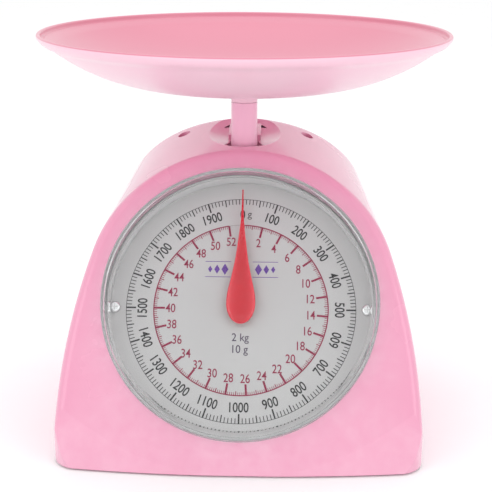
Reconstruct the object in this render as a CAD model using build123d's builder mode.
from build123d import *
from math import atan2, cos, degrees, pi, radians, sin, sqrt, tan
import os

os.makedirs("parts", exist_ok=True)

# A dial kitchen scale: a dished pan on a post, sprung inside a leaning housing with a round dial.
# X is to the right, +Y to the back, +Z up; the origin is under the post's axis, on the table.

# ---- driving dimensions, in mm and degrees ----
pan_radius = 105.0
pan_rim_height = 198.0
pan_floor_radius = 38.0
pan_underside = 170.8
pan_wall = 2.2
socket_length = 9.0

lean = 32.0                 # how far the dial face leans back from upright
base_front = -104.0
base_back = 54.0
back_lean = 8.0             # the back wall's lean over back_lean_height
back_lean_height = 149.0
base_half_width = 88.8
housing_wall = 2.5
housing_bottom = 1.0
housing_reach = 190.0       # a height above everything, for cutting tools
arch_radius = 78.8          # the round top of the face
arch_height = 85.5          # its centre, measured up the face from the table
flare_angle = 17.0          # where the arch meets the flaring flanks
roof_rise = 9.0             # the roof climbs this much towards the back
arch_narrowing = 0.2018     # the arch radius lost per mm of depth
flank_narrowing = 0.0207
bow_radius = 600.0          # the front of the base is bowed
apron_lean = 22.0           # the band under the face leans less than the face does
corner_radius = 15.0
back_edge_radius = 14.0
face_edge_radius = 5.0
dimple_y = 3.0              # the shallow round dimple in the roof, about the post
dimple_radius = 22.5
dimple_depth = 3.5
dimple_floor = 135.5        # the underside of the thick roof below the dimple
ridge_half_width = 8.5      # the ridge that runs from the slot back across the dimple
slot_front = -7.0           # the slot that the post goes down through
slot_back = 8.0
slot_front_half = 10.5
slot_back_half = 7.2

dial_depth = 15.5           # from the face down to the printed dial
dial_radius = 66.5
dial_thickness = 0.6
dial_screw_radius = 63.6    # where the two dial screws sit
window_radius = 68.4
window_proud = 5.0
window_wall = 1.5
well_radius = 71.5          # the flange of the dial well, clamped under the face
well_flange_depth = 4.2
lug_ring_radius = 75.0      # where the four fixing lugs of the dial well sit
lug_angles = (-8, -50, -130, -172)
movement_pitch = 17.0       # the square of the four movement screws

travel = 14.82              # the pan's drop from empty to full
teeth = 10
module = 0.4
pitch_radius = teeth * module / 2
arbor_radius = 1.0
running_gap = 0.05
pointer_gap = 4.2           # from the dial to the pointer's back
pinion_start = 24.0         # measured behind the dial, along the arbor
pinion_length = 12.5
frame_front = 6.0
frame_back = 40.0
frame_sheet = 1.2
arbor_end = 42.5
rack_depth = 25.0
rack_thickness = 2.5
rack_teeth = 15

pointer_tip = 61.5          # the pointer's outline, in mm from the arbor
pointer_bulb = 7.3
pointer_bulb_height = 10.3
pointer_bulb_centre = 1.7
pointer_thickness = 1.0
dome_radius = 6.2
dome_height = 1.4

post_width = 13.6
post_depth = 11.0
post_corner = 5.4
post_foot = 118.0           # the height of the carriage's bridge

pin_y = -5.7                # the levers' moving pins
pivot_y = 36.0              # their fixed pivots
upper_pivot = 96.0
lower_pivot = 34.0
pin_rise = travel / 2       # at rest each pin stands half the travel above its pivot
plate = 1.5                 # the sheet steel of the carriage, levers and chassis
carriage_half_width = 15.0  # the inside of the carriage's side plates
lever_half_width = 18.0
chassis_half_width = 22.0
chassis_web_y = 41.0

spring_x = 29.5
spring_bar_height = 31.0
hanger_height = 113.0
hanger_thickness = 2.0
spring_wire = 0.6
spring_radius = 4.5
eye_radius = 4.0

zero_axis_y = 35.0
knob_radius = 14.5
knob_bottom = 119.5
knob_thickness = 5.0

base_plate_bottom = 2.5
base_plate_top = 4.5
foot_radius = 7.0
front_boss = (77.0, -72.0)
back_boss = (73.0, 46.5)
front_foot = (60.0, -84.0)
back_foot = (60.0, 40.0)
top_screw = (33.3, 25.0)
top_screw_seat = 133.5
chassis_screw_x = 30.0

lean_cos = cos(radians(lean))
lean_sin = sin(radians(lean))
face = Plane(origin=(0, base_front, 0), x_dir=(1, 0, 0), z_dir=(0, -lean_cos, lean_sin))
dial_centre = face.from_local_coords(Vector(0, arch_height, -dial_depth))
dial = Plane(origin=dial_centre, x_dir=(1, 0, 0), z_dir=(0, -lean_cos, lean_sin))
rim_centre = face.from_local_coords(Vector(0, arch_height, 0))
rim = Plane(origin=rim_centre, x_dir=(1, 0, 0), z_dir=(0, -lean_cos, lean_sin))
lever_length = sqrt((pivot_y - pin_y) ** 2 + pin_rise**2)


def save(piece, name):
    piece.label = name
    export_step(piece, f"parts/{name}.step")
    print(name, round(piece.volume))


def roof_height(y):
    """The height of the roof's ridge above the table at y."""
    ridge_y = base_front + (arch_height + arch_radius) * lean_sin
    ridge_z = (arch_height + arch_radius) * lean_cos
    return ridge_z + (y - ridge_y) * tan(radians(roof_rise))


def machine_screw(at, head_radius, head_height, shank_radius, length):
    """A domed cross-head screw; the head stands on the plane and the shank goes below it."""
    with BuildPart() as screw:
        with BuildSketch(at):
            Circle(head_radius)
        extrude(amount=head_height)
        fillet(screw.faces().sort_by(Axis(at.origin, at.z_dir))[-1].edges(), head_height * 0.6)
        with BuildSketch(at):
            Circle(shank_radius)
        extrude(amount=-length)
        with BuildSketch(at.offset(head_height)):
            Rectangle(head_radius * 1.1, head_radius * 0.25)
            Rectangle(head_radius * 0.25, head_radius * 1.1)
        extrude(amount=-head_height * 0.5, mode=Mode.SUBTRACT)
    return screw.part


def group(pieces):
    """Several loose solids in one node."""
    return Compound(children=pieces)


# ---- weighing pan ----
def make_weighing_pan():
    lip_start = (98.0, 191.0)
    lip_foot = (102.3, 193.1)
    rim_inner = pan_radius - pan_wall
    with BuildPart() as pan:
        with BuildSketch(Plane.XZ):
            with BuildLine():
                Line((0, pan_underside), (pan_floor_radius, pan_underside))
                TangentArc((pan_floor_radius, pan_underside), lip_start, tangent=(1, 0))
                Line(lip_start, lip_foot)
                RadiusArc(lip_foot, (pan_radius, pan_rim_height - 1.5), -5.0)
                Line((pan_radius, pan_rim_height - 1.5), (pan_radius, pan_rim_height - 0.8))
                TangentArc((pan_radius, pan_rim_height - 0.8), (rim_inner, pan_rim_height - 0.8), tangent=(0, 1))
                Line((rim_inner, pan_rim_height - 0.8), (rim_inner, pan_rim_height - 1.5))
                RadiusArc((rim_inner, pan_rim_height - 1.5), (101.0, 195.0), 3.0)
                Line((101.0, 195.0), (96.8, 192.9))
                TangentArc(
                    (pan_floor_radius, pan_underside + pan_wall), (96.8, 192.9), tangent=(1, 0)
                )
                Line((pan_floor_radius, pan_underside + pan_wall), (0, pan_underside + pan_wall))
                Line((0, pan_underside + pan_wall), (0, pan_underside))
            make_face()
        revolve(axis=Axis.Z)
        with BuildSketch(Plane.XY.offset(pan_underside)):
            RectangleRounded(post_width, post_depth, post_corner)
        extrude(amount=-socket_length)
        with BuildSketch(Plane.XY.offset(pan_underside)):
            Circle(4.5)
        extrude(amount=-socket_length, mode=Mode.SUBTRACT)
    save(pan.part, "weighing_pan")


# ---- housing ----
def housing_outline(depth, inset):
    """The housing's outline on a plane parallel to the face, depth mm behind it."""
    along = lean_sin * cos(radians(roof_rise)) + lean_cos * sin(radians(roof_rise))
    into = lean_cos * cos(radians(roof_rise)) - lean_sin * sin(radians(roof_rise))
    radius = arch_radius - arch_narrowing * depth - inset
    centre = arch_height + (along / into + arch_narrowing) * depth
    half_width = base_half_width - flank_narrowing * depth - inset
    meet_x = radius * cos(radians(flare_angle))
    meet_s = centre + radius * sin(radians(flare_angle))
    flank_radius = (half_width - meet_x) / (1 - cos(radians(flare_angle)))
    flank_foot = meet_s - flank_radius * sin(radians(flare_angle))
    below_table = flank_foot - 60
    with BuildSketch(face.offset(-depth)) as outline:
        with BuildLine():
            Line((-half_width, below_table), (half_width, below_table))
            Line((half_width, below_table), (half_width, flank_foot))
            TangentArc((half_width, flank_foot), (meet_x, meet_s), tangent=(0, 1))
            ThreePointArc((meet_x, meet_s), (0, centre + radius), (-meet_x, meet_s))
            TangentArc((-half_width, flank_foot), (-meet_x, meet_s), tangent=(0, 1))
            Line((-half_width, flank_foot), (-half_width, below_table))
        make_face()
    return outline.sketch


def bowed_front(front, half_width, radius, corner=0.0):
    """A plan outline whose front edge is an arc between two round corners; its back edge is far behind."""
    edge_y = front + radius - sqrt(radius**2 - half_width**2)
    with BuildSketch() as plan:
        with BuildLine():
            ThreePointArc((-half_width, edge_y), (0, front), (half_width, edge_y))
            Polyline((half_width, edge_y), (half_width, 150), (-half_width, 150), (-half_width, edge_y))
        make_face()
        if corner:
            fillet(plan.vertices().group_by(Axis.Y)[0], corner)
    return plan.sketch


def housing_form(inset, bottom):
    """The housing as a solid, all its walls moved in by inset, standing on the height bottom."""
    front_y = base_front + inset / lean_cos
    bow = bow_radius - inset
    cornered = bowed_front(base_front + inset, base_half_width + 0.4 - inset, bow, corner_radius - inset)
    apron = bowed_front(base_front + inset / cos(radians(apron_lean)), base_half_width + 10, bow)
    with BuildPart() as form:
        loft([housing_outline(-8, inset), housing_outline(150, inset)], ruled=True)
        with BuildSketch(Plane.YZ):
            with BuildLine():
                Polyline(
                    (front_y + bottom * tan(radians(lean)), bottom),
                    (base_back - inset - back_lean * bottom / back_lean_height, bottom),
                    (base_back - inset - back_lean * housing_reach / back_lean_height, housing_reach),
                    (front_y + housing_reach * tan(radians(lean)), housing_reach),
                    close=True,
                )
            make_face()
        extrude(amount=120, both=True, mode=Mode.INTERSECT)
        back_edges = form.faces().sort_by(Axis.Y)[-1].edges()
        fillet(back_edges.filter_by(lambda edge: edge.center().Z > bottom + 1), back_edge_radius - inset)
        with BuildSketch(Plane.XY.offset(bottom - 5)):
            add(cornered)
        extrude(amount=housing_reach, mode=Mode.INTERSECT)
        with BuildSketch(Plane.XY):
            add(apron)
        leaning = (0, sin(radians(apron_lean)), cos(radians(apron_lean)))
        extrude(amount=housing_reach * 1.1, dir=leaning, mode=Mode.INTERSECT)
        front = form.faces().filter_by(lambda f: f.normal_at().dot(face.z_dir) > 0.9999).sort_by(Axis.Y)[0]
        fillet(front.edges().filter_by(lambda edge: edge.center().Z > 30), face_edge_radius - 0.8 * inset)
    return form.part


def make_housing_shell(outer):
    inner = housing_form(housing_wall, housing_bottom - 2)
    with BuildPart() as dimple_pad:
        with BuildSketch(Plane.XY.offset(dimple_floor)):
            with Locations((0, dimple_y)):
                Circle(dimple_radius + housing_wall)
        extrude(amount=30)
        add(outer, mode=Mode.INTERSECT)
    with BuildPart() as ridge:
        ridge_length = dimple_y + dimple_radius - slot_back
        with BuildSketch(Plane.XY.offset(dimple_floor)):
            with Locations((0, slot_back + ridge_length / 2)):
                Rectangle(2 * ridge_half_width, ridge_length)
        extrude(amount=30)
        add(outer, mode=Mode.INTERSECT)
    with BuildPart() as base_bosses:
        with BuildSketch(Plane.XY.offset(base_plate_top + 0.1)):
            with Locations((front_boss[0], front_boss[1]), (-front_boss[0], front_boss[1])):
                Circle(4.5)
        extrude(amount=40)
        with BuildSketch(Plane.XY.offset(base_plate_top + 0.1)):
            with Locations((back_boss[0], back_boss[1]), (-back_boss[0], back_boss[1])):
                Circle(4.5)
        extrude(amount=26)
        add(outer, mode=Mode.INTERSECT)
    with BuildPart() as top_bosses:
        with BuildSketch(Plane.XY.offset(123.6)):
            with Locations(top_screw, (-top_screw[0], top_screw[1])):
                Circle(5)
        extrude(amount=30)
        add(outer, mode=Mode.INTERSECT)
    with BuildPart() as shell:
        add(outer)
        add(inner, mode=Mode.SUBTRACT)
        add(dimple_pad.part)
        add(base_bosses.part)
        add(top_bosses.part)
        with BuildSketch(rim.offset(-housing_wall)):
            with Locations(*lug_points()):
                Circle(3.2)
        extrude(amount=-3.3)
        # the round opening for the window
        with BuildSketch(rim.offset(8)):
            Circle(window_radius + 0.2)
        extrude(amount=-14, mode=Mode.SUBTRACT)
        # the shallow round dimple about the post, and the slot that the post goes down through
        ball = (dimple_radius**2 + dimple_depth**2) / (2 * dimple_depth)
        with Locations((0, dimple_y, roof_height(dimple_y) - dimple_depth + ball)):
            Sphere(ball, mode=Mode.SUBTRACT)
        add(ridge.part)
        with BuildSketch(Plane.XY.offset(130)):
            with BuildLine():
                Polyline(
                    (-slot_front_half, slot_front), (slot_front_half, slot_front),
                    (slot_back_half, slot_back), (-slot_back_half, slot_back), close=True,
                )
            make_face()
        extrude(amount=25, mode=Mode.SUBTRACT)
        # recesses and holes for the two top screws
        with BuildSketch(Plane.XY.offset(top_screw_seat)):
            with Locations(top_screw, (-top_screw[0], top_screw[1])):
                Circle(3.25)
        extrude(amount=20, mode=Mode.SUBTRACT)
        with BuildSketch(Plane.XY.offset(120)):
            with Locations(top_screw, (-top_screw[0], top_screw[1])):
                Circle(1.5)
        extrude(amount=20, mode=Mode.SUBTRACT)
        # blind holes for the base screws and the dial well's screws
        with BuildSketch(Plane.XY.offset(base_plate_top)):
            with Locations(*base_screw_points()):
                Circle(1.25)
        extrude(amount=9, mode=Mode.SUBTRACT)
        with BuildSketch(rim.offset(-housing_wall - 3.3)):
            with Locations(*lug_points()):
                Circle(1.1)
        extrude(amount=3.6, mode=Mode.SUBTRACT)
        # the slit in the back wall that the zero wheel looks out of
        with BuildSketch(Plane.XY.offset(knob_bottom - 1)):
            with Locations((0, 50)):
                Rectangle(23.6, 16)
        extrude(amount=knob_thickness + 2, mode=Mode.SUBTRACT)
    save(shell.part, "housing_shell")


def lug_points():
    """The four fixing lugs of the dial well, in the plane of the face."""
    return [(lug_ring_radius * cos(radians(a)), lug_ring_radius * sin(radians(a))) for a in lug_angles]


def base_screw_points():
    return [(side * x, y) for x, y in (front_boss, back_boss) for side in (1, -1)]


def make_top_screws():
    screws = [
        machine_screw(Plane(origin=(side * top_screw[0], top_screw[1], top_screw_seat)), 2.9, 1.6, 1.5, 15)
        for side in (1, -1)
    ]
    save(group(screws), "top_screws")


# ---- base ----
def make_base_plate():
    form = housing_form(housing_wall + 0.3, base_plate_bottom)
    with BuildPart() as base:
        add(form)
        with BuildSketch(Plane.XY.offset(base_plate_bottom)):
            Rectangle(300, 300)
        extrude(amount=base_plate_top - base_plate_bottom, mode=Mode.INTERSECT)
        with BuildSketch(Plane.XY):
            with Locations(*base_screw_points()):
                Circle(1.5)
            with Locations(*chassis_screw_points()):
                Circle(1.25)
        extrude(amount=10, mode=Mode.SUBTRACT)
    save(base.part, "base_plate")
    screws = [
        machine_screw(
            Plane(origin=(x, y, base_plate_bottom), x_dir=(1, 0, 0), z_dir=(0, 0, -1)), 2.8, 1.5, 1.25, 10
        )
        for x, y in base_screw_points()
    ]
    save(group(screws), "base_screws")


def make_rubber_feet():
    with BuildPart() as feet:
        with BuildSketch():
            for x, y in (front_foot, back_foot):
                with Locations((x, y), (-x, y)):
                    Circle(foot_radius)
        extrude(amount=base_plate_bottom)
        chamfer(feet.faces().group_by(Axis.Z)[0].edges(), 0.6)
    save(group(list(feet.solids())), "rubber_feet")


def chassis_screw_points():
    return [(side * chassis_screw_x, y) for y in (28, 38) for side in (1, -1)]


# ---- dial and window ----
def make_clear_cover():
    inner = window_radius - window_wall
    with BuildPart() as cover:
        with BuildSketch(Plane.XZ) as profile:
            with BuildLine():
                Line((inner, -4.1), (71.5, -4.1))
                Line((71.5, -4.1), (71.5, -2.6))
                Line((71.5, -2.6), (window_radius, -2.6))
                Line((window_radius, -2.6), (window_radius, window_proud - 1.2))
                RadiusArc((window_radius, window_proud - 1.2), (window_radius - 1.2, window_proud), -1.2)
                Line((window_radius - 1.2, window_proud), (65.4, window_proud))
                Line((65.4, window_proud), (64.3, 3.9))
                TangentArc((0, 5.4), (64.3, 3.9), tangent=(1, 0))
                Line((0, 5.4), (0, 5.4 - window_wall))
                TangentArc((0, 5.4 - window_wall), (63.6, 3.95 - window_wall), tangent=(1, 0))
                Line((63.6, 3.95 - window_wall), (64.6, 3.5))
                Line((64.6, 3.5), (inner, 3.5))
                Line((inner, 3.5), (inner, -4.1))
            make_face()
        revolve(axis=Axis.Z)
    placed = rim.location * cover.part
    save(placed, "clear_cover")


def make_dial_well():
    inner = window_radius - window_wall
    floor_top = -dial_depth - dial_thickness
    floor_bottom = floor_top - 1.5
    boss_height = 3.9
    with BuildPart() as well:
        with BuildSketch(rim.offset(-well_flange_depth)):
            Circle(well_radius)
        extrude(amount=-3.2)
        with BuildSketch(rim.offset(-well_flange_depth)):
            Circle(68.2)
        extrude(amount=floor_bottom + well_flange_depth)
        with BuildSketch(rim.offset(-5.9)):
            for x, s in lug_points():
                with Locations((x, s)):
                    Circle(3.5)
                with Locations(Location((x * 0.955, s * 0.955, 0), (0, 0, degrees(atan2(s, x))))):
                    Rectangle(7, 7)
        extrude(amount=-1.5)
        with BuildSketch(rim.offset(-well_flange_depth)):
            Circle(inner)
        extrude(amount=floor_top + well_flange_depth, mode=Mode.SUBTRACT)
        # bosses on the back for the movement and for the dial screws
        with BuildSketch(rim.offset(floor_bottom)):
            with GridLocations(movement_pitch, movement_pitch, 2, 2):
                Circle(2.4)
        extrude(amount=-boss_height)
        with BuildSketch(rim.offset(floor_bottom)):
            with GridLocations(2 * dial_screw_radius, 1, 2, 1):
                Circle(3.2)
        extrude(amount=-4.5)
        # the screw holes in them, and the hole that the arbor and its hub go through
        with BuildSketch(rim.offset(floor_bottom - boss_height)):
            with GridLocations(movement_pitch, movement_pitch, 2, 2):
                Circle(1.0)
        extrude(amount=boss_height, mode=Mode.SUBTRACT)
        with BuildSketch(rim.offset(floor_bottom)):
            Circle(4)
        extrude(amount=3, mode=Mode.SUBTRACT)
        with BuildSketch(rim.offset(floor_bottom - 4.5)):
            with GridLocations(2 * dial_screw_radius, 1, 2, 1):
                Circle(1.25)
        extrude(amount=8, mode=Mode.SUBTRACT)
        with BuildSketch(rim.offset(-8)):
            with Locations(*lug_points()):
                Circle(1.3)
        extrude(amount=3, mode=Mode.SUBTRACT)
    save(well.part, "dial_well")


def make_well_screws():
    screws = []
    for x, s in lug_points():
        seat = rim.from_local_coords(Vector(x, s, -7.4))
        behind = Plane(origin=seat, x_dir=(1, 0, 0), z_dir=(0, lean_cos, -lean_sin))
        screws.append(machine_screw(behind, 2.4, 1.5, 1.1, 4.6))
    save(group(screws), "well_screws")


def make_dial_plate():
    with BuildPart() as dial_plate:
        with BuildSketch(dial):
            Circle(dial_radius)
            Circle(3, mode=Mode.SUBTRACT)
            with GridLocations(2 * dial_screw_radius, 1, 2, 1):
                Circle(1.4, mode=Mode.SUBTRACT)
        extrude(amount=-dial_thickness)
    save(dial_plate.part, "dial_plate")
    screws = []
    for side in (1, -1):
        seat = dial.from_local_coords(Vector(side * dial_screw_radius, 0, 0))
        on_dial = Plane(origin=seat, x_dir=(1, 0, 0), z_dir=dial.z_dir)
        screws.append(machine_screw(on_dial, 3.0, 2.0, 1.25, 6))
    save(group(screws), "dial_screws")


# ---- pointer and its arbor ----
def make_pointer():
    """A red blade, widest just above the arbor, with a low dome over the arbor."""
    ball = (dome_radius**2 + dome_height**2) / (2 * dome_height)
    dome_base = pointer_gap + pointer_thickness
    ball_centre = dial.from_local_coords(Vector(0, 0, dome_base + dome_height - ball))
    with BuildPart() as dome:
        with BuildSketch(dial.offset(dome_base - 0.1)):
            Circle(dome_radius + 0.3)
        extrude(amount=2)
        with Locations(ball_centre):
            Sphere(ball, mode=Mode.INTERSECT)
    with BuildPart() as pointer:
        with BuildSketch(dial.offset(pointer_gap)):
            with BuildLine():
                EllipticalCenterArc(
                    (0, pointer_bulb_centre), pointer_bulb, pointer_bulb_height, start_angle=270, arc_size=90
                )
                Spline(
                    (pointer_bulb, pointer_bulb_centre), (6.9, 7), (5.1, 15.3), (3.3, 24.5), (2.1, 33.5),
                    (1.1, 42), (0.6, 49), (0.28, pointer_tip), tangents=((0, 1), (-0.02, 1)),
                )
                Line((0.28, pointer_tip), (0, pointer_tip))
                Line((0, pointer_tip), (0, pointer_bulb_centre - pointer_bulb_height))
            make_face()
            mirror(about=Plane.YZ)
        extrude(amount=pointer_thickness)
        add(dome.part)
        with BuildSketch(dial.offset(pointer_gap)):
            Circle(arbor_radius)
        extrude(amount=pointer_thickness, mode=Mode.SUBTRACT)
    save(pointer.part, "pointer")


def make_arbor():
    with BuildPart() as arbor:
        with BuildSketch(dial.offset(pointer_gap + pointer_thickness)):
            Circle(arbor_radius)
        extrude(amount=-(pointer_gap + pointer_thickness + arbor_end))
    save(arbor.part, "pointer_arbor")
    with BuildPart() as hub:
        with BuildSketch(dial.offset(pointer_gap)):
            Circle(2.6)
            Circle(arbor_radius, mode=Mode.SUBTRACT)
        extrude(amount=-3.0)
    save(hub.part, "pointer_hub")


def make_pinion():
    """Ten slim teeth, with a tooth standing on the pitch line towards the rack."""
    tooth_half = 0.24
    with BuildPart() as pinion:
        with BuildSketch(dial.offset(-pinion_start)):
            Circle(pitch_radius - 0.5)
            with PolarLocations(0, teeth):
                Polygon(
                    (1.2, -0.42), (pitch_radius - 0.5, -0.36), (pitch_radius, -tooth_half),
                    (pitch_radius + 0.3, -0.1), (pitch_radius + 0.3, 0.1), (pitch_radius, tooth_half),
                    (pitch_radius - 0.5, 0.36), (1.2, 0.42), align=None,
                )
            Circle(arbor_radius, mode=Mode.SUBTRACT)
        extrude(amount=-pinion_length)
    save(pinion.part, "pinion")


def make_rack():
    """The rack stands beside the pinion; a gap of it faces the pinion's tooth at rest."""
    pitch = pi * module
    with BuildPart() as rack:
        with BuildSketch(dial.offset(-rack_depth)):
            low = -3 * pitch
            high = low + rack_teeth * pitch
            with BuildLine():
                Polyline((2.5, low), (6.5, low), (6.5, high), (2.5, high), close=True)
            make_face()
            with Locations(*[(0, low + (i + 0.5) * pitch) for i in range(rack_teeth)]):
                Polygon(
                    (2.6, -0.33), (2.0, -0.2), (1.72, -0.1), (1.72, 0.1), (2.0, 0.2), (2.6, 0.33), align=None
                )
        extrude(amount=-rack_thickness)
        with BuildSketch(dial.offset(-rack_depth)):
            with Locations((4.8, 4), (4.8, 11)):
                Circle(0.8)
        extrude(amount=-rack_thickness, mode=Mode.SUBTRACT)
    save(rack.part, "rack")


def make_rack_bracket():
    """A bent steel bracket that carries the rack on the carriage's right-hand plate."""
    with BuildPart() as bracket:
        with BuildSketch(dial.offset(-rack_depth - rack_thickness)):
            with BuildLine():
                Polyline((3.4, 2), (15, 2), (15, 17), (3.4, 13.5), close=True)
            make_face()
            with Locations((4.8, 4), (4.8, 11)):
                Circle(0.8, mode=Mode.SUBTRACT)
        extrude(amount=-plate)
        lower = dial.from_local_coords(Vector(0, 2, -rack_depth - rack_thickness))
        upper = dial.from_local_coords(Vector(0, 17, -rack_depth - rack_thickness))
        with BuildSketch(Plane.YZ.offset(13.5)):
            with BuildLine():
                Polyline(
                    (lower.Y, lower.Z), (upper.Y, upper.Z), (-9, 70), (-1, 70), (-1, 58),
                    (lower.Y + 1.3, lower.Z - 0.8), close=True,
                )
            make_face()
            with Locations((-5, 62), (-5, 67)):
                Circle(0.8, mode=Mode.SUBTRACT)
        extrude(amount=plate)
    save(bracket.part, "rack_bracket")
    rivets = []
    for v in (4, 11):
        seat = dial.from_local_coords(Vector(4.8, v, -rack_depth))
        rivets.append(rivet(Plane(origin=seat, x_dir=(1, 0, 0), z_dir=dial.z_dir), rack_thickness + plate))
    for z in (62, 67):
        rivets.append(rivet(Plane(origin=(13.5, -5, z), x_dir=(0, 1, 0), z_dir=(-1, 0, 0)), 2 * plate))
    save(group(rivets), "rack_rivets")


def rivet(at, grip):
    """A rivet with a low round head at both ends of its grip."""
    with BuildPart() as rivet_form:
        with BuildSketch(at):
            Circle(0.8)
        extrude(amount=-grip)
        with BuildSketch(at):
            Circle(1.4)
        extrude(amount=0.6)
        with BuildSketch(at.offset(-grip)):
            Circle(1.4)
        extrude(amount=-0.6)
    return rivet_form.part


# ---- movement frame: a bent plate with a bearing at each end of the arbor ----
def make_movement_frame():
    with BuildPart() as frame:
        with BuildSketch(dial.offset(-frame_front)):
            with Locations((-0.5, 0)):
                RectangleRounded(24, 24, 2)
            Circle(2.4, mode=Mode.SUBTRACT)
            with GridLocations(movement_pitch, movement_pitch, 2, 2):
                Circle(1.2, mode=Mode.SUBTRACT)
        extrude(amount=-frame_sheet)
        with BuildSketch(dial.offset(-frame_back)):
            with Locations((-3, 0)):
                RectangleRounded(19, 14, 2)
            Circle(2.4, mode=Mode.SUBTRACT)
        extrude(amount=-frame_sheet)
        with BuildSketch(dial.offset(-frame_front)):
            with Locations((-11.9, 0)):
                Rectangle(frame_sheet, 12)
        extrude(amount=-(frame_back - frame_front + frame_sheet))
    save(frame.part, "movement_frame")
    for name, start in (("front_bush", frame_front), ("rear_bush", frame_back)):
        with BuildPart() as bush:
            with BuildSketch(dial.offset(-start - frame_sheet)):
                Circle(2.4)
            extrude(amount=frame_sheet)
            with BuildSketch(dial.offset(-start)):
                Circle(3.4)
            extrude(amount=0.8)
            with BuildSketch(dial.offset(-start - 2)):
                Circle(arbor_radius + running_gap)
            extrude(amount=4, mode=Mode.SUBTRACT)
        save(bush.part, name)
    screws = []
    half = movement_pitch / 2
    for x, s in ((half, half), (-half, half), (half, -half), (-half, -half)):
        seat = dial.from_local_coords(Vector(x, s, -frame_front - frame_sheet))
        behind = Plane(origin=seat, x_dir=(1, 0, 0), z_dir=(0, lean_cos, -lean_sin))
        screws.append(machine_screw(behind, 1.9, 1.2, 1.0, 4.6))
    save(group(screws), "movement_screws")


# ---- post and carriage ----
def make_weighing_post():
    shoulder = pan_underside - socket_length
    with BuildPart() as post:
        with BuildSketch(Plane.XY.offset(post_foot)):
            RectangleRounded(26, 12, 2)
        extrude(amount=3)
        with BuildSketch(Plane.XY.offset(post_foot + 3)):
            RectangleRounded(post_width, post_depth, post_corner)
        extrude(amount=shoulder - post_foot - 3)
        with BuildSketch(Plane.XY.offset(shoulder)):
            Circle(4.3)
        extrude(amount=7.5)
        chamfer(post.faces().sort_by(Axis.Z)[-1].edges(), 0.8)
        with BuildSketch(Plane.XY.offset(post_foot)):
            with GridLocations(19, 1, 2, 1):
                Circle(1.25)
        extrude(amount=3, mode=Mode.SUBTRACT)
    save(post.part, "weighing_post")
    screws = [
        machine_screw(Plane(origin=(x, 0, post_foot + 3)), 2.2, 1.4, 1.25, 7) for x in (9.5, -9.5)
    ]
    save(group(screws), "post_screws")


def make_carriage_frame():
    """Two side plates under a bridge."""
    pin_heights = [pivot + pin_rise for pivot in (lower_pivot, upper_pivot)]
    with BuildPart() as carriage:
        for x in (carriage_half_width, -carriage_half_width - plate):
            with BuildSketch(Plane.YZ.offset(x)) as side:
                with BuildLine():
                    Polyline(
                        (-11, 27), (7, 27), (7, post_foot), (-7, post_foot), (-11, 108), close=True
                    )
                make_face()
                for z in pin_heights:
                    with Locations((pin_y, z)):
                        Circle(1.5, mode=Mode.SUBTRACT)
                with Locations((0, spring_bar_height)):
                    Circle(1.5, mode=Mode.SUBTRACT)
                if x > 0:
                    with Locations((-5, 62), (-5, 67)):
                        Circle(0.8, mode=Mode.SUBTRACT)
            extrude(amount=plate)
        with BuildSketch(Plane.XY.offset(post_foot - plate)):
            Rectangle(2 * (carriage_half_width + plate), 14)
            with GridLocations(19, 1, 2, 1):
                Circle(1.25, mode=Mode.SUBTRACT)
        extrude(amount=plate)
    save(carriage.part, "carriage_frame")
    with BuildPart() as pins:
        for side in (1, -1):
            for z in pin_heights:
                with BuildSketch(Plane.YZ.offset(side * 14.4)):
                    with Locations((pin_y, z)):
                        Circle(1.5)
                extrude(amount=side * 6.6)
                with BuildSketch(Plane.YZ.offset(side * 21.0)):
                    with Locations((pin_y, z)):
                        Circle(2.4)
                extrude(amount=side * 0.8)
    save(group(list(pins.solids())), "carriage_pins")
    with BuildPart() as bar:
        with BuildSketch(Plane.YZ.offset(-33)):
            with Locations((0, spring_bar_height)):
                Circle(1.5)
        extrude(amount=66)
        for end in (-34, 33):
            with BuildSketch(Plane.YZ.offset(end)):
                with Locations((0, spring_bar_height)):
                    Circle(2.3)
            extrude(amount=1)
    save(bar.part, "spring_bar")


# ---- parallel levers ----
def make_lever(name, pivot_z):
    """A forked lever: two arms joined by a tie near the fixed pivot."""
    slope = (0, pin_y - pivot_y, pin_rise)
    with BuildPart() as lever:
        for x in (lever_half_width, -lever_half_width - plate):
            with BuildSketch(Plane(origin=(x, pivot_y, pivot_z), x_dir=slope, z_dir=(1, 0, 0))):
                with Locations((lever_length / 2, 0)):
                    SlotCenterToCenter(lever_length, 8)
                Circle(2 + running_gap, mode=Mode.SUBTRACT)
                with Locations((lever_length, 0)):
                    SlotCenterToCenter(1.2, 3.2, mode=Mode.SUBTRACT)
            extrude(amount=plate)
        with BuildSketch(Plane(origin=(-lever_half_width, pivot_y, pivot_z), x_dir=slope, z_dir=(1, 0, 0))):
            with Locations((13, -3.25)):
                Rectangle(14, plate)
        extrude(amount=2 * lever_half_width)
    save(lever.part, name)


def make_lever_pivots():
    with BuildPart() as pivots:
        for z in (lower_pivot, upper_pivot):
            with BuildSketch(Plane.YZ.offset(-26)):
                with Locations((pivot_y, z)):
                    Circle(2)
            extrude(amount=52)
    save(group(list(pivots.solids())), "lever_pivot_pins")
    with BuildPart() as clips:
        for side in (1, -1):
            for z in (lower_pivot, upper_pivot):
                with BuildSketch(Plane.YZ.offset(side * 23.6)):
                    with Locations((pivot_y, z)):
                        Circle(3.8)
                        Circle(2, mode=Mode.SUBTRACT)
                extrude(amount=side * 0.8)
    save(group(list(clips.solids())), "pivot_clips")


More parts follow.
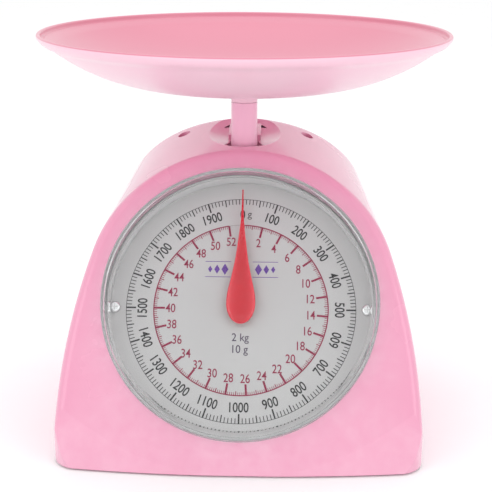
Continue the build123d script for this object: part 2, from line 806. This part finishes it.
# ---- chassis ----
def make_chassis():
    with BuildPart() as chassis:
        # the web at the back
        with BuildSketch(Plane.XZ.offset(-chassis_web_y)):
            with Locations((0, 57)):
                Rectangle(2 * (chassis_half_width + plate), 105)
        extrude(amount=-plate)
        with BuildSketch(Plane.XZ.offset(-chassis_web_y)):
            with Locations((0, 65)):
                RectangleRounded(24, 40, 4)
        extrude(amount=-plate, mode=Mode.SUBTRACT)
        # the cheeks, with uprights to the roof
        for x in (chassis_half_width, -chassis_half_width - plate):
            with BuildSketch(Plane.YZ.offset(x)):
                with BuildLine():
                    Polyline(
                        (24, base_plate_top), (chassis_web_y + plate, base_plate_top), (chassis_web_y + plate, 104),
                        (31, 107), (31, 123.5), (20, 123.5), (20, 100), (28, 88), (28, 20), (24, 14),
                        close=True,
                    )
                make_face()
                for z in (lower_pivot, upper_pivot):
                    with Locations((pivot_y, z)):
                        Circle(2, mode=Mode.SUBTRACT)
            extrude(amount=plate)
        # feet and roof tabs
        for side in (1, -1):
            with BuildSketch(Plane.XY.offset(base_plate_top)):
                with Locations((side * 29, 33.25)):
                    Rectangle(14, 18.5)
                with Locations((side * chassis_screw_x, 28), (side * chassis_screw_x, 38)):
                    Circle(1.5, mode=Mode.SUBTRACT)
            extrude(amount=plate)
            with BuildSketch(Plane.XY.offset(122)):
                with Locations((side * 30, 25)):
                    Rectangle(16, 10)
                with Locations((side * top_screw[0], top_screw[1])):
                    Circle(1.5, mode=Mode.SUBTRACT)
            extrude(amount=plate)
        # the shelf that the zero screw turns in
        with BuildSketch(Plane.XY.offset(108)):
            with Locations((0, 35.75)):
                Rectangle(20, 13.5)
            with Locations((0, zero_axis_y)):
                Circle(1.95 + running_gap, mode=Mode.SUBTRACT)
        extrude(amount=plate)
    save(chassis.part, "chassis")
    screws = [
        machine_screw(Plane(origin=(x, y, base_plate_top + plate)), 2.6, 1.5, 1.25, 3.4)
        for x, y in chassis_screw_points()
    ]
    save(group(screws), "chassis_screws")


# ---- springs and the zero adjuster ----
def make_spring(name, side):
    """A hanging tension spring with a ring at each end."""
    x = side * spring_x
    top_eye = hanger_height + hanger_thickness + 0.3 - (eye_radius - spring_wire)
    low_eye = spring_bar_height - 1.5 - 0.1 + (eye_radius - spring_wire)
    coil_top = top_eye - eye_radius - 1.5
    coil_low = low_eye + eye_radius + 1.5
    turns = 18
    with BuildPart() as spring:
        with BuildLine(Plane.XY.offset(coil_low)) as line:
            helix = Helix(pitch=(coil_top - coil_low) / turns, height=coil_top - coil_low, radius=spring_radius)
        with BuildSketch(Plane(origin=helix @ 0, z_dir=helix % 0)):
            Circle(spring_wire)
        sweep(path=line.line, is_frenet=True)
        for z, end in ((coil_low, -1), (coil_top, 1)):
            with BuildSketch(Plane(origin=(-0.2, 0, z), x_dir=(0, 1, 0), z_dir=(1, 0, 0))):
                Circle(spring_wire + 0.05)
            extrude(amount=spring_radius + 0.25)
            with BuildSketch(Plane.XY.offset(z)):
                Circle(spring_wire)
            extrude(amount=end * 1.7)
        with Locations(Location((0, 0, top_eye), (90, 0, 0))):
            Torus(eye_radius, spring_wire)
        with Locations(Location((0, 0, low_eye), (0, 90, 0))):
            Torus(eye_radius, spring_wire)
    save(Pos(x, 0, 0) * spring.part, name)


def make_spring_hanger():
    """A flat fork: its bar sits on the zero screw's nut and its two arms hold the springs."""
    with BuildPart() as hanger:
        with BuildSketch(Plane.XY.offset(hanger_height)):
            with Locations((0, 35.25)):
                Rectangle(66, 7.5)
            for side in (1, -1):
                with Locations((side * spring_x, 20.5)):
                    Rectangle(7, 35)
                with Locations((side * spring_x, 1)):
                    Rectangle(2, 8)
                with Locations((side * spring_x, -2.8)):
                    Rectangle(4, 1.2)
            with Locations((0, zero_axis_y)):
                Circle(2.3, mode=Mode.SUBTRACT)
        extrude(amount=hanger_thickness)
    save(hanger.part, "spring_hanger")
    with BuildPart() as nut:
        with BuildSketch(Plane.XY.offset(hanger_height + hanger_thickness)):
            with Locations((0, zero_axis_y)):
                RegularPolygon(3.8, 6)
                Circle(1.95 + running_gap, mode=Mode.SUBTRACT)
        extrude(amount=2.6)
    save(nut.part, "zero_nut")


def make_zero_screw():
    with BuildPart() as screw:
        with BuildSketch(Plane.XY.offset(104.5)):
            with Locations((0, zero_axis_y)):
                Circle(1.95)
        extrude(amount=knob_bottom + knob_thickness - 104.5)
        for z, thickness in ((109.6, 1.2), (106.9, 1.0)):
            with BuildSketch(Plane.XY.offset(z)):
                with Locations((0, zero_axis_y)):
                    Circle(3.5)
            extrude(amount=thickness)
    save(screw.part, "zero_screw")
    with BuildPart() as knob:
        with BuildSketch(Plane.XY.offset(knob_bottom)):
            with Locations((0, zero_axis_y)):
                Circle(knob_radius)
        extrude(amount=knob_thickness)
        chamfer(knob.edges().filter_by(GeomType.CIRCLE), 0.6)
        with BuildSketch(Plane.XY.offset(knob_bottom)):
            with Locations((0, zero_axis_y)):
                Circle(1.95)
                with PolarLocations(knob_radius + 0.35, 40):
                    Circle(0.8)
        extrude(amount=knob_thickness, mode=Mode.SUBTRACT)
    save(knob.part, "zero_knob")


make_weighing_pan()
make_housing_shell(housing_form(0, housing_bottom))
make_top_screws()
make_base_plate()
make_rubber_feet()
make_clear_cover()
make_dial_well()
make_well_screws()
make_dial_plate()
make_pointer()
make_arbor()
make_pinion()
make_rack()
make_rack_bracket()
make_movement_frame()
make_weighing_post()
make_carriage_frame()
make_lever("upper_lever", upper_pivot)
make_lever("lower_lever", lower_pivot)
make_lever_pivots()
make_chassis()
make_spring("left_spring", -1)
make_spring("right_spring", 1)
make_spring_hanger()
make_zero_screw()
